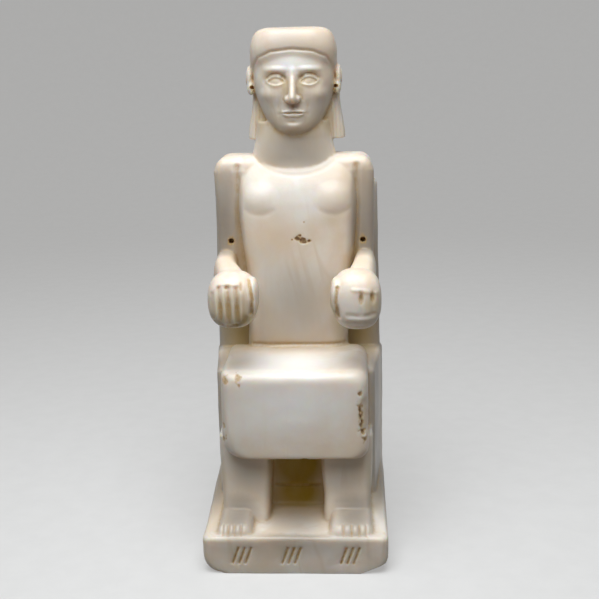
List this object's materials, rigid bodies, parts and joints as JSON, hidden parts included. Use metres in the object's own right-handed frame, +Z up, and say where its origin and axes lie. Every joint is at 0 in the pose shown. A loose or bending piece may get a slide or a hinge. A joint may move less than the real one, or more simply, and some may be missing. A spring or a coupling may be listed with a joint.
{
  "type": "seated female statuette",
  "caption": "Alabaster statuette of a woman seated on a low-backed throne, fists held forward over her lap, carved in one piece with its low plinth.",
  "frame": {"origin": "middle of the plinth's footprint, on the flat underside", "axes": "+Z up along the figure, -Y towards the viewer that the figure faces, +X towards the figure's left hand"},
  "size_m": [0.105, 0.1041, 0.3],
  "materials": {
    "alabaster": "polished, slightly translucent cream alabaster with brown stains in the hollows"
  },
  "bodies": {
    "root": {"seated_woman": "alabaster"}
  },
  "joints": []
}
